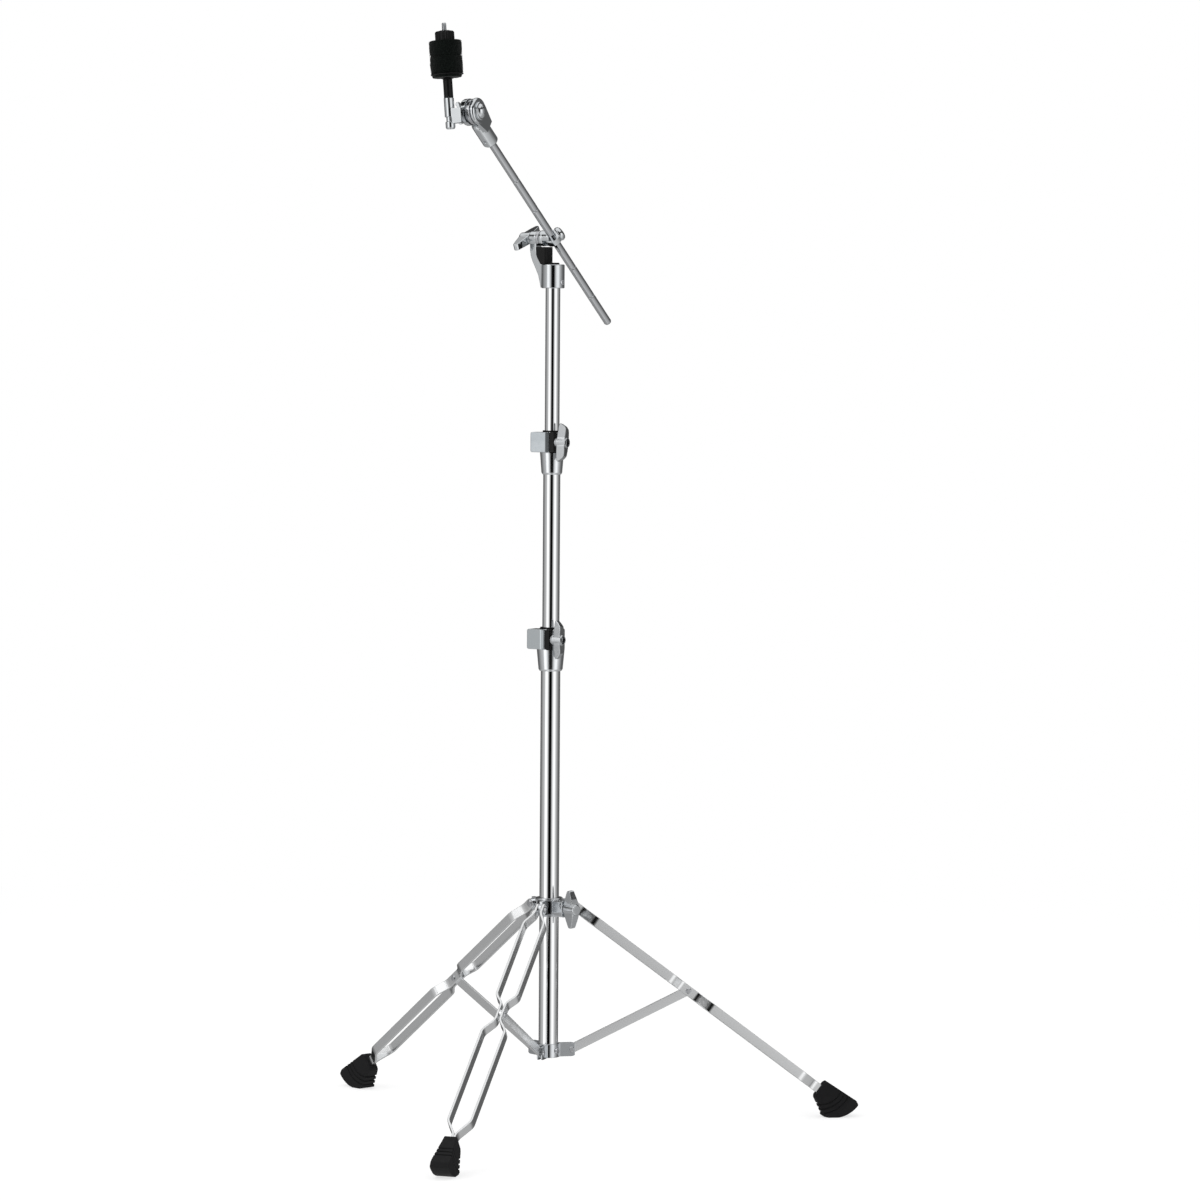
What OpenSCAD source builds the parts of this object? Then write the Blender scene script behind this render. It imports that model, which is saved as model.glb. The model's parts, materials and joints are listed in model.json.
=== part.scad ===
// Cymbal boom stand.
// A folding tripod with doubled legs and single braces carries a column of three
// tubes. Two clamps hold the tubes at height. A tilting clamp on top holds the
// boom rod, and a tilter at its end carries the post with the cymbal felts.
// Lengths are in millimetres. The floor is z = 0 and the front leg points to -Y.

/* [Column] */
// Distance of the column axis behind the middle of the footprint
column_y = 99;
// Outside diameter of the base tube
base_tube_d = 25.4; // [22:0.1:32]
// Outside diameter of the middle tube
middle_tube_d = 22.2; // [19:0.1:25]
// Outside diameter of the upper tube
upper_tube_d = 19.05; // [15:0.05:22]
// Wall thickness of the three tubes
tube_wall = 1.2; // [0.8:0.1:2]
// Height of the base tube's lower end above the floor
base_bottom_z = 94.5; // [80:0.5:100]
// Height of the lower clamp's bottom edge
lower_clamp_z = 595; // [450:1:620]
// Height of the upper clamp's bottom edge
upper_clamp_z = 850; // [700:1:900]
// Height of the middle tube's lower end inside the base tube
middle_bottom_z = 330; // [300:1:400]
// Height of the upper tube's lower end inside the middle tube
upper_bottom_z = 560; // [540:1:600]
// Direction of the lower clamp's bolt, seen from above
lower_clamp_az = -14.4; // [-180:0.1:180]
// Direction of the upper clamp's bolt, seen from above
upper_clamp_az = -7.4; // [-180:0.1:180]

/* [Tripod] */
// Slope of the legs below the horizontal
leg_drop = 37; // [30:0.5:50]
// Distance of a leg's pivot from the column axis
leg_pivot_r = 32.3; // [28:0.1:40]
// Height of a leg's pivot
leg_pivot_z = 288.3; // [250:0.1:320]
// Distance along a leg from its pivot to the brace rivet
leg_rivet_s = 193; // [150:1:230]
// Distance along a leg from its pivot to the mouth of the foot
leg_foot_s = 413.8; // [380:0.1:440]
// Distance of a brace's lower pivot from the column axis
brace_pivot_r = 30.1; // [26:0.1:36]
// Height of a brace's lower pivot
brace_pivot_z = 99; // [90:0.5:120]
// Width of the leg strips
strip_w = 12.5; // [10:0.5:16]
// Thickness of the leg strips and braces
strip_t = 3; // [2:0.1:4]

/* [Boom] */
// Height of the boom's tilt pivot
boom_z = 1155; // [1130:1:1200]
// Direction of the tilt pivot's wing nut end, seen from above
boom_az = 164.6; // [0:0.1:360]
// Slope of the boom rod above the horizontal
boom_el = 40; // [20:1:46]
// Diameter of the boom rod
rod_d = 10; // [8:0.1:13]
// Length of rod below the clamp
rod_tail = 170; // [120:1:260]
// Distance from the clamp to the tilter's pivot
tilter_reach = 243; // [200:1:320]
// Roll of the rod about its own axis
rod_roll = 6.25; // [-20:0.25:20]

/* [Cymbal seat] */
// Offset of the post from the tilter along its pivot
post_x = 18.7; // [15:0.1:25]
// Offset of the post in front of the tilter's pivot
post_y = 21.5; // [18:0.1:28]
// Diameter of the threaded post
post_d = 6; // [5:0.1:8]
// Diameter of the felts
felt_d = 40.6; // [30:0.2:50]

/* [Hidden] */
$fn = 48;
base_r = base_tube_d / 2;
middle_r = middle_tube_d / 2;
upper_r = upper_tube_d / 2;
base_bore = base_r - tube_wall;
middle_bore = middle_r - tube_wall;
upper_bore = upper_r - tube_wall;
// running clearance on a radius
fit = 0.05;
// the lug block of a clamp is 26 tall and starts 29 above the clamp's bottom edge
clamp_block_h = 26;
clamp_cone_h = 29;
clamp_bolt_r = 2.5;
collar_h = 24;
collar_z = leg_pivot_z - 13;
bracket_h = 18;
rivet_r = 2.5;
pivot_r = 3;
rod_r = rod_d / 2;
post_r = post_d / 2;
leg_azimuths = [270, 30, 150];
leg_rivet_r = leg_pivot_r + leg_rivet_s * cos(leg_drop);
leg_rivet_z = leg_pivot_z - leg_rivet_s * sin(leg_drop);
brace_len = norm([leg_rivet_r - brace_pivot_r, leg_rivet_z - brace_pivot_z]);
brace_drop = atan2(leg_rivet_z - brace_pivot_z, leg_rivet_r - brace_pivot_r);

// Part to draw, or all of them

steel = [0.78, 0.79, 0.81];
bright = [0.9, 0.91, 0.93];
black = [0.06, 0.06, 0.07];
rubber = [0.09, 0.09, 0.09];
felt = [0.07, 0.08, 0.07];

// ---- shared shapes ----

function unit(v) = v / norm(v);
function perp(v) = [-v[1], v[0]];
function seg_normal(p, i) = perp(unit(p[i + 1] - p[i]));
function first_normal(p, i) = seg_normal(p, max(i - 1, 0));
function last_normal(p, i) = seg_normal(p, min(i, len(p) - 2));
function corner_normal(a, b) = (a + b) / (1 + a * b);
function side_line(p, h) = [
    for (i = [0 : len(p) - 1]) p[i] + h * corner_normal(first_normal(p, i), last_normal(p, i))
];
function reversed(p) = [for (i = [len(p) - 1 : -1 : 0]) p[i]];
function bend_point(a, b, c, k, t) =
    let (p = b + unit(a - b) * k, q = b + unit(c - b) * k)
    p * (1 - t) * (1 - t) + b * 2 * t * (1 - t) + q * t * t;
// every inner corner of a path eased over k millimetres each way
function eased(p, k) = [
    p[0],
    for (i = [1 : len(p) - 2]) for (j = [0 : 3]) bend_point(p[i - 1], p[i], p[i + 1], k, j / 3),
    p[len(p) - 1]
];

module tube(r_out, r_in, z0, z1) {
    translate([0, 0, z0]) difference() {
        cylinder(r = r_out, h = z1 - z0);
        translate([0, 0, -1]) cylinder(r = r_in, h = z1 - z0 + 2);
    }
}

// a cylinder along X from x0 to x1
module rod_x(r, x0, x1) {
    translate([x0, 0, 0]) rotate([0, 90, 0]) cylinder(r = r, h = x1 - x0);
}

// a cylinder along Y from y0 to y1
module rod_y(r, y0, y1) {
    translate([0, y1, 0]) rotate([90, 0, 0]) cylinder(r = r, h = y1 - y0);
}

module box(x0, x1, y0, y1, z0, z1) {
    translate([x0, y0, z0]) cube([x1 - x0, y1 - y0, z1 - z0]);
}

module rounded_plate(x0, x1, y0, y1, r) {
    translate([x0 + r, y0]) square([x1 - x0 - 2 * r, y1 - y0]);
    translate([x0, y0 + r]) square([x1 - x0, y1 - y0 - 2 * r]);
    for (x = [x0 + r, x1 - r]) for (y = [y0 + r, y1 - r]) translate([x, y]) circle(r = r);
}

// side views of one blade of each kind of wing nut: distance from the axis, height on the hub
function clamp_blade(low) = [
    [0, low], [22, low + 0.2], [24.4, low + 1], [25, low + 2], [24.2, low + 3.8],
    [21, 10.6], [17.5, 13], [14, 13.4], [0, 13.4]
];
collar_blade = [
    [0, 1], [8, 1], [20, 4.4], [23.4, 5.6], [24.6, 6.8], [24.6, 10.2], [23.4, 11.4],
    [14, 15.2], [8, 17], [0, 17]
];
boom_blade = [
    [0, 1], [8, 1], [14, 2], [22, 3.4], [27, 4.4], [29.2, 6], [29.5, 8.5], [28.4, 10.6],
    [25, 11.4], [18, 12.8], [9, 14], [0, 14]
];

// wing nut with its seat at z = 0, its hub along +Z and its blades along X;
// root and tip are half the thickness of a blade at the hub and at 30 mm
module wing_nut_shape(hub_r, hub_h, blade, root, tip, bore, bore_h) {
    difference() {
        union() {
            rotate_extrude() polygon([[0, 0], [hub_r, 0], [hub_r, 2], [hub_r - 0.6, hub_h - 1.4],
                [hub_r - 1.4, hub_h], [0, hub_h]]);
            for (a = [0, 180]) rotate([0, 0, a]) intersection() {
                rotate([90, 0, 0]) translate([0, 0, -root]) linear_extrude(2 * root)
                    polygon(blade);
                linear_extrude(hub_h + 2) polygon([[-1, -root - 1], [6, -root - 1], [6, -root],
                    [30, -tip], [30, tip], [6, root], [6, root + 1], [-1, root + 1]]);
            }
        }
        translate([0, 0, -1]) cylinder(r = bore, h = bore_h + 1);
    }
}

// ---- placing ----

module at_column() {
    translate([0, column_y, 0]) children();
}

// X runs down the leg from its pivot, Y is sideways and Z is square to its top edge
module leg_frame(i) {
    at_column() rotate([0, 0, leg_azimuths[i]]) translate([leg_pivot_r, 0, leg_pivot_z])
        rotate([0, leg_drop, 0]) children();
}

// X runs along the brace from its lower pivot to the rivet in the leg
module brace_frame(i) {
    at_column() rotate([0, 0, leg_azimuths[i]]) translate([brace_pivot_r, 0, brace_pivot_z])
        rotate([0, -brace_drop, 0]) children();
}

module clamp_frame(z, az) {
    at_column() translate([0, 0, z]) rotate([0, 0, az]) children();
}

// X runs along the tilt pivot towards its wing nut
module bracket_frame() {
    at_column() translate([0, 0, boom_z]) rotate([0, 0, boom_az]) children();
}

// Y runs along the boom rod towards the cymbal
module boom_frame() {
    bracket_frame() rotate([boom_el, 0, 0]) children();
}

module tilter_frame() {
    boom_frame() rotate([0, rod_roll, 0]) translate([0, tilter_reach, 0]) children();
}

// Z runs up the cymbal post, from the height of the tilter's pivot
module head_frame() {
    tilter_frame() rotate([-boom_el, 0, 0]) children();
}

module post_frame() {
    head_frame() translate([post_x, post_y, 0]) children();
}

// ---- base ----

module base_tube() color(bright) at_column()
    tube(base_r, base_bore, base_bottom_z, lower_clamp_z + 27);

module base_plug() color(black) at_column() union() {
    translate([0, 0, base_bottom_z - 2.5]) cylinder(r1 = base_r - 1, r2 = base_r, h = 2.5);
    tube(base_bore, base_bore - 2, base_bottom_z - 0.5, base_bottom_z + 14);
}

module bracket_tab(side) {
    y0 = side > 0 ? strip_t / 2 + 0.25 : -strip_t / 2 - 2.25;
    difference() {
        union() {
            box(13.2, brace_pivot_r, y0, y0 + 2, -bracket_h / 2, bracket_h / 2);
            translate([brace_pivot_r, 0, 0]) intersection() {
                rod_y(bracket_h / 2, y0, y0 + 2);
                box(-1, 5, -9, 9, -bracket_h / 2, bracket_h / 2);
            }
        }
        translate([brace_pivot_r, 0, 0]) rod_y(rivet_r, -9, 9);
    }
}

module lower_bracket() color(steel) at_column() translate([0, 0, brace_pivot_z]) difference() {
    union() {
        translate([0, 0, -bracket_h / 2]) cylinder(r = base_r + 2, h = bracket_h);
        for (a = leg_azimuths) rotate([0, 0, a]) for (side = [-1, 1]) bracket_tab(side);
    }
    translate([0, 0, -bracket_h]) cylinder(r = base_r, h = 2 * bracket_h);
    rotate([0, 0, -22]) rod_x(2, base_r - 1, base_r + 4);
}

// short rivets, one in each tab, that leave the brace itself free
module bracket_pins() color(bright) at_column() translate([0, 0, brace_pivot_z])
    for (a = leg_azimuths) rotate([0, 0, a]) for (side = [0, 180])
        translate([brace_pivot_r, 0, 0]) rotate([0, 0, side]) {
            rod_y(rivet_r, strip_t / 2 + 0.25, strip_t / 2 + 2.25);
            translate([0, strip_t / 2 + 2.25, 0]) rotate([-90, 0, 0])
                cylinder(r1 = 4.2, r2 = 3, h = 1.5);
        }

module bracket_screw() color(bright) at_column() translate([0, 0, brace_pivot_z])
    rotate([0, 0, -22]) difference() {
        union() {
            rod_x(2, base_r, base_r + 2.1);
            translate([base_r + 2.1, 0, 0]) rotate([0, 90, 0]) cylinder(r1 = 4, r2 = 3.2, h = 2.4);
        }
        box(base_r + 3.6, base_r + 6, -0.5, 0.5, -2.2, 2.2);
        box(base_r + 3.6, base_r + 6, -2.2, 2.2, -0.5, 0.5);
    }

// ---- clamps ----

// cast clamp: X is the bolt's direction, its lug and its ear stand out towards -Y,
// and the edge of the lug beside the slit is bevelled back to bevel_y
module clamp_casting(tube_r, bush_r, r_low, r_top, lug_y, bevel_y, bolt_y) {
    z1 = clamp_cone_h;
    z2 = clamp_cone_h + clamp_block_h;
    zm = (z1 + z2) / 2;
    bevel = (lug_y - bevel_y) / 4.8;
    difference() {
        union() {
            rotate_extrude() polygon([[tube_r - 1, 0], [r_low - 1.6, 0], [r_low, 2.4],
                [r_top - 0.3, z1 - 3], [r_top, z1], [r_top, z2 - 1.2], [r_top - 1.2, z2],
                [tube_r - 1, z2]]);
            intersection() {
                translate([0, -5, 0]) rotate([90, 0, 0]) linear_extrude(lug_y - 5)
                    rounded_plate(-21.5, 4.3, z1, z2, 2.5);
                linear_extrude(z2 + 5) polygon([[-23, 0], [-23, -lug_y - bevel],
                    [-1.5, -lug_y - bevel], [5.3, -bevel_y + bevel], [5.3, 0]]);
            }
            translate([0, -bolt_y, zm]) rod_x(3.7, 11.7, 13.5);
            box(11.7, 13.5, -bolt_y, -5, zm - 3.7, zm + 3.7);
        }
        translate([0, 0, -1]) cylinder(r = tube_r, h = 28);
        translate([0, 0, 26.9]) cylinder(r = bush_r, h = 30);
        box(4.3, 11.7, -30, 0, z1 - 0.5, z2 + 1);
        translate([0, -bolt_y, zm]) {
            rod_x(clamp_bolt_r + 0.1, -30, 30);
            rod_x(3.25, -22, -19);
            rod_x(7.8, 13.5, 24);
        }
    }
}

// nylon bush that stands a little out of the top of the clamp, with a tab in its slit
module clamp_bush(bush_r, slide_r, tab_y, bolt_y) {
    z2 = clamp_cone_h + clamp_block_h;
    difference() {
        union() {
            translate([0, 0, 27]) cylinder(r = bush_r, h = z2 - 25);
            box(4.4, 11.6, -tab_y, -7, clamp_cone_h + 0.2, z2 - 0.3);
        }
        translate([0, 0, 26]) cylinder(r = slide_r + fit, h = 40);
        translate([0, -bolt_y, z2 - clamp_block_h / 2]) rod_x(clamp_bolt_r + 0.1, 2, 14);
    }
}

module clamp_bolt(bolt_y) {
    translate([0, -bolt_y, clamp_cone_h + clamp_block_h / 2]) {
        rod_x(clamp_bolt_r, -20, 27);
        rod_x(3.2, -21, -19);
    }
}

module clamp_washer(bolt_y) {
    translate([0, -bolt_y, clamp_cone_h + clamp_block_h / 2]) difference() {
        rod_x(6, 13.5, 14.9);
        rod_x(clamp_bolt_r + 0.1, 13, 16);
    }
}

// the hub is open at its outer end, with the bolt's end sunk in it
module clamp_wing_nut(bolt_y, low, lean) {
    translate([15, -bolt_y, clamp_cone_h + clamp_block_h / 2]) rotate([0, 90, 0])
        rotate([0, 0, lean]) difference() {
            wing_nut_shape(7.2, 15.5, clamp_blade(low), 6, 2.4, clamp_bolt_r + fit, 20);
            translate([0, 0, 10.5]) cylinder(r = 5.2, h = 6);
        }
}

module lower_clamp() color(bright) clamp_frame(lower_clamp_z, lower_clamp_az)
    clamp_casting(base_r, 14, 15.7, 18.2, 24, 22.4, 17);

module lower_bush() color(black) clamp_frame(lower_clamp_z, lower_clamp_az)
    clamp_bush(14, middle_r, 21.6, 17);

module lower_clamp_bolt() color(steel) clamp_frame(lower_clamp_z, lower_clamp_az)
    clamp_bolt(17);

module lower_washer() color(steel) clamp_frame(lower_clamp_z, lower_clamp_az)
    clamp_washer(17);

module lower_wing_nut() color(bright) clamp_frame(lower_clamp_z, lower_clamp_az)
    clamp_wing_nut(17, 3.8, 0);

module upper_clamp() color(bright) clamp_frame(upper_clamp_z, upper_clamp_az)
    clamp_casting(middle_r, 12.2, 13.5, 15.6, 20, 18.5, 15.2);

module upper_bush() color(black) clamp_frame(upper_clamp_z, upper_clamp_az)
    clamp_bush(12.2, upper_r, 18.2, 15.2);

module upper_clamp_bolt() color(steel) clamp_frame(upper_clamp_z, upper_clamp_az)
    clamp_bolt(15.2);

module upper_washer() color(steel) clamp_frame(upper_clamp_z, upper_clamp_az)
    clamp_washer(15.2);

module upper_wing_nut() color(bright) clamp_frame(upper_clamp_z, upper_clamp_az)
    clamp_wing_nut(15.2, 1.6, -10);

// ---- tripod ----

module leg_collar() color(bright) at_column() translate([0, 0, collar_z]) difference() {
    union() {
        rotate_extrude() polygon([[base_r, 0], [17.2, 0], [17.6, 0.4], [17.6, 2.6], [15.4, 3.4],
            [15.4, collar_h - 3.4], [17.6, collar_h - 2.6], [17.6, collar_h - 0.4],
            [17.2, collar_h], [base_r, collar_h]]);
        for (a = leg_azimuths) rotate([0, 0, a]) {
            box(13.5, leg_pivot_r, -2.4, 2.4, 13 - 8.5, 13 + 9);
            translate([leg_pivot_r, 0, 13]) rod_y(6, -2.4, 2.4);
        }
        rotate([0, 0, -30]) rotate([90, 0, 90]) translate([0, 0, 13.5]) linear_extrude(20.5)
            rounded_plate(-8, 8, 1, collar_h - 1, 3);
    }
    translate([0, 0, -1]) cylinder(r = base_r + fit, h = collar_h + 2);
    for (a = leg_azimuths) rotate([0, 0, a]) translate([leg_pivot_r, 0, 13]) rod_y(pivot_r, -5, 5);
    rotate([0, 0, -30]) translate([0, 0, collar_h / 2]) rod_x(4 + fit, 10, 40);
}

// the three rivets the legs swing on
module collar_rivets() color(steel) at_column() translate([0, 0, leg_pivot_z])
    for (a = leg_azimuths) rotate([0, 0, a]) translate([leg_pivot_r, 0, 0]) {
        rod_y(pivot_r, -6, 6);
        translate([0, 5.65, 0]) rotate([-90, 0, 0]) cylinder(r1 = 5, r2 = 3.6, h = 1.7);
        translate([0, -5.65, 0]) rotate([90, 0, 0]) cylinder(r1 = 5, r2 = 3.6, h = 1.7);
    }

module collar_wing_bolt() color(bright) at_column() rotate([0, 0, -30])
    translate([0, 0, collar_z + collar_h / 2]) {
        rod_x(4, 13.1, 40);
        translate([34.6, 0, 0]) rotate([0, 90, 0]) rotate([0, 0, 3])
            wing_nut_shape(7.6, 20, collar_blade, 6, 3.1, 3.9, 6);
    }

leg_path = [
    [-8, 4.05], [14, 4.05], [32, 13.8], [164, 13.8], [178, 3.1], [208, 3.1],
    [226, 15.2], [384, 15.2], [406, 1.5], [446, 1.5]
];

// one bent strip of a leg; side is 1 or -1
module leg_strip(side) {
    half = strip_w / 2;
    line = eased([for (p = leg_path) [p[0], p[1] * side]], 4);
    difference() {
        intersection() {
            translate([0, 0, -half]) linear_extrude(strip_w)
                polygon(concat(side_line(line, strip_t / 2), reversed(side_line(line, -strip_t / 2))));
            union() {
                box(0, 460, -20, 20, -half, half);
                rod_y(half, -20, 20);
            }
        }
        rod_y(pivot_r + fit, -20, 20);
        translate([leg_rivet_s, 0, 0]) rod_y(rivet_r, -20, 20);
    }
}

// the rivet that joins both strips to the brace between them
module leg_rivet() {
    translate([leg_rivet_s, 0, 0]) {
        rod_y(rivet_r, -5, 5);
        translate([0, 4.6, 0]) rotate([-90, 0, 0]) cylinder(r1 = 4.2, r2 = 3, h = 1.6);
        translate([0, -4.6, 0]) rotate([90, 0, 0]) cylinder(r1 = 4.2, r2 = 3, h = 1.6);
    }
}

// side view of a rubber foot; inset shrinks it evenly
module foot_profile(inset) {
    intersection() {
        translate([15, 14]) circle(r = 42 - inset, $fn = 96);
        polygon([[3 + inset, 10 - inset], [5 + inset, 13.9 - inset], [51, 16.6 - inset],
            [55.5, 14.5 - inset], [62, 8], [62, -34], [33 - inset, -34], [26.6, -24 + inset],
            [5 + inset, -12.8 + inset], [3 + inset, -9.5 + inset]]);
    }
}

// the foot seen from above, wider towards the floor
module foot_plan(inset) {
    polygon([[2, -7.6 + inset], [12, -8.6 + inset], [44, -12.2 + inset], [60, -12.6 + inset],
        [60, 12.6 - inset], [44, 12.2 - inset], [12, 8.6 - inset], [2, 7.6 - inset]]);
}

module foot_block(inset) {
    intersection() {
        rotate([90, 0, 0]) translate([0, 0, -15]) linear_extrude(30) foot_profile(inset);
        translate([0, 0, -40]) linear_extrude(70) foot_plan(inset);
    }
}

module foot_shape() {
    translate([leg_foot_s, 0, 0]) difference() {
        foot_block(0);
        difference() {
            for (r = [28.5, 34.3, 40.1]) translate([-2, 0, 8]) difference() {
                rod_y(r + 1.8, -16, 16);
                rod_y(r, -17, 17);
            }
            foot_block(1.3);
        }
        box(0, 33, -strip_t - 0.05, strip_t + 0.05, -strip_w / 2 - 0.05, strip_w / 2 + 0.05);
    }
}

// each foot is worn to a small flat where it stands on the floor
module leg_foot(i) {
    difference() {
        leg_frame(i) foot_shape();
        translate([-600, -600, -30]) cube([1200, 1200, 30]);
    }
}

module brace(i) {
    brace_frame(i) difference() {
        union() {
            box(0, brace_len, -strip_t / 2, strip_t / 2, -6, 6);
            for (x = [0, brace_len]) translate([x, 0, 0]) rod_y(6, -strip_t / 2, strip_t / 2);
        }
        rod_y(rivet_r + 0.1, -5, 5);
        translate([brace_len, 0, 0]) rod_y(rivet_r + fit, -5, 5);
    }
}

module front_strip_a() color(steel) leg_frame(0) leg_strip(1);
module front_strip_b() color(steel) leg_frame(0) leg_strip(-1);
module front_rivet() color(bright) leg_frame(0) leg_rivet();
module front_foot() color(rubber) leg_foot(0);
module front_brace() color(steel) brace(0);
module right_strip_a() color(steel) leg_frame(1) leg_strip(1);
module right_strip_b() color(steel) leg_frame(1) leg_strip(-1);
module right_rivet() color(bright) leg_frame(1) leg_rivet();
module right_foot() color(rubber) leg_foot(1);
module right_brace() color(steel) brace(1);
module left_strip_a() color(steel) leg_frame(2) leg_strip(1);
module left_strip_b() color(steel) leg_frame(2) leg_strip(-1);
module left_rivet() color(bright) leg_frame(2) leg_rivet();
module left_foot() color(rubber) leg_foot(2);
module left_brace() color(steel) brace(2);

// ---- middle and upper tubes ----

// nylon guide on a tube's lower end: a ring that fills the tube outside it
module tube_guide(ring_r, plug_r, hole_r) {
    difference() {
        union() {
            translate([0, 0, -12]) cylinder(r = ring_r, h = 11.9);
            translate([0, 0, -1]) cylinder(r = plug_r, h = 13);
        }
        translate([0, 0, -13]) cylinder(r = hole_r, h = 30);
    }
}

module middle_guide() color(black) at_column() translate([0, 0, middle_bottom_z])
    tube_guide(base_bore - 0.08, middle_bore - fit, middle_bore - 2);

module middle_tube() color(bright) at_column()
    tube(middle_r, middle_bore, middle_bottom_z, upper_clamp_z + 27);

module upper_guide() color(black) at_column() translate([0, 0, upper_bottom_z])
    tube_guide(middle_bore - 0.08, upper_bore - fit, upper_bore - 2);

module upper_tube() color(bright) at_column()
    tube(upper_r, upper_bore, upper_bottom_z, boom_z - 37);

// ---- boom bracket ----

module boom_bracket() color(bright) bracket_frame() difference() {
    union() {
        translate([0, 0, -64.5]) rotate_extrude() polygon([[5, 0], [14.2, 0], [15, 0.8],
            [15, 30], [14.2, 30.8], [5, 30.8]]);
        rotate([90, 0, 0]) translate([0, 0, -6.5]) linear_extrude(13)
            polygon([[22.4, 0], [22.4, -15], [21.5, -20], [19, -26], [14, -33.7], [11, -34],
                [11, -62], [15.2, -64], [16.4, -58], [19, -48], [23.8, -38], [28, -30],
                [30.8, -23], [31.9, -16], [31.9, 0]]);
        rod_x(9.5, 22.4, 31.9);
    }
    rod_x(4 + fit, 20, 40);
    translate([0, 0, -66]) cylinder(r = upper_r, h = 29);
    translate([0, 0, -38]) cylinder(r = upper_bore, h = 5);
    rotate([0, 0, -boom_az - 20]) translate([0, 0, -57]) rod_x(2, 8, 18);
}

module boom_bracket_screw() color(steel) at_column() rotate([0, 0, -20])
    translate([0, 0, boom_z - 57]) difference() {
        union() {
            rod_x(2, upper_r, 15.1);
            translate([15, 0, 0]) rotate([0, 90, 0]) cylinder(r1 = 3.4, r2 = 2.8, h = 2);
        }
        box(16, 18, -0.5, 0.5, -3, 3);
    }

// nylon block beside the rod, under the clamp's disc, with a plug in the upper tube
module bracket_block() color(black) bracket_frame() union() {
    intersection() {
        translate([0, 0, -33.7]) linear_extrude(22.4) rounded_plate(5.6, 22.3, -9, 9, 3);
        rotate([90, 0, 0]) translate([0, 0, -10]) linear_extrude(20)
            polygon([[5, -34], [13.6, -34], [13.9, -33.6], [18.8, -26], [21.3, -20],
                [22.3, -15], [22.3, -11], [5, -11]]);
    }
    translate([0, 0, -50.7]) cylinder(r = upper_bore, h = 18.2);
    translate([0, 0, -32.5]) cylinder(r1 = upper_bore, r2 = upper_bore - 1, h = 1);
}

module boom_disc() color(steel) bracket_frame() difference() {
    union() {
        rod_x(9.8, 18.4, 22.4);
        rod_x(9.2, 17.7, 18.5);
    }
    rod_x(4 + fit, 16, 24);
}

module boom_clamp() color(bright) boom_frame() difference() {
    union() {
        rod_x(10, 1, 17.4);
        translate([13, 0, 0]) rod_x(10.4, 0, 3);
    }
    rod_y(rod_r + 0.06, -20, 20);
    box(-2, 11.6, -4.7, 4.7, -12, 12);
    rod_x(4, 10, 18);
}

// the eye holds the rod, its round cap stands off its upper side away from the wing nut
module boom_eye_bolt() color(bright) boom_frame() difference() {
    union() {
        rod_y(10.9, -4.4, 4.4);
        rotate([0, 50, 0]) translate([-8, 0, 0]) rotate([0, -90, 0]) rotate_extrude()
            polygon([[0, 0], [9.4, 0], [9.4, 2.4], [8.4, 4.8], [6, 6.4], [3, 7.1], [0, 7.3]]);
        rod_x(4, 9, 47);
    }
    rod_y(rod_r + fit, -20, 20);
}

module boom_washer() color(steel) bracket_frame() difference() {
    rod_x(8, 31.9, 33.4);
    rod_x(4.1, 30, 35);
}

module boom_wing_nut() color(bright) bracket_frame() translate([33.6, 0, 0])
    rotate([0, 90, 0]) rotate([0, 0, 64.6]) wing_nut_shape(8, 16, boom_blade, 5.6, 4.2, 4 + fit, 14);

module boom_rod() color(steel) boom_frame() difference() {
    union() {
        rod_y(rod_r, -rod_tail + 2, tilter_reach - 22);
        translate([0, -rod_tail + 2, 0]) rotate([90, 0, 0])
            cylinder(r1 = rod_r, r2 = rod_r - 1.6, h = 2);
    }
    for (y = [-114, -57, 57, 114]) difference() {
        rod_y(rod_r + 1, y - 1, y + 1);
        rod_y(rod_r - 0.5, y - 2, y + 2);
    }
}

// ---- tilter ----

// an ear beside the discs runs back and down into the barrel that holds the rod
module tilter_socket() color(bright) tilter_frame() difference() {
    union() {
        rotate([90, 0, 0]) translate([0, 0, 18]) rotate_extrude() polygon([[2, 0], [6.4, 0],
            [8.6, 1.2], [10, 3.6], [10.25, 6], [10.25, 37.5], [9.2, 39], [2, 39]]);
        translate([-8.6, 0, 0]) rotate([0, -90, 0]) rotate_extrude() polygon([[2, 0], [17, 0],
            [17, 2], [16.3, 3.6], [15, 4.5], [2, 4.5]]);
        rotate([90, 0, 90]) translate([0, 0, -12.4]) linear_extrude(3.8)
            polygon([[-6, -15.6], [-22, -11.4], [-30, -9.4], [-30, 9.4], [-22, 11.4], [-6, 15.6]]);
        box(-11.8, -2, -29, -17.8, -9, 9);
    }
    rod_y(rod_r + fit, -60, -21);
    rod_x(4, -20, 0);
    translate([0, -46, 0]) rotate([0, 180, 0]) cylinder(r = 2, h = 12);
}

module socket_screw() color(steel) tilter_frame() translate([0, -46, 0]) difference() {
    translate([0, 0, -9.6]) cylinder(r = 2, h = 4.5);
    translate([0, 0, -10]) cylinder(r = 1, h = 2, $fn = 6);
}

module tilter_disc() color(steel) tilter_frame() difference() {
    union() {
        rod_x(16.2, -6.4, -1.9);
        rod_x(12.5, -8.4, -0.2);
    }
    rod_x(4, -10, 1);
}

module tilter_bolt() color(bright) tilter_frame() {
    rod_x(4, -13.2, 23);
    translate([-13.1, 0, 0]) rotate([0, -90, 0]) rotate_extrude()
        polygon([[0, 0], [11.7, 0], [11.7, 1.2], [11, 2], [9.4, 2.2], [8.8, 3], [7.4, 4.9],
            [5, 6.4], [2.4, 7.1], [0, 7.3]]);
}

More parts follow.
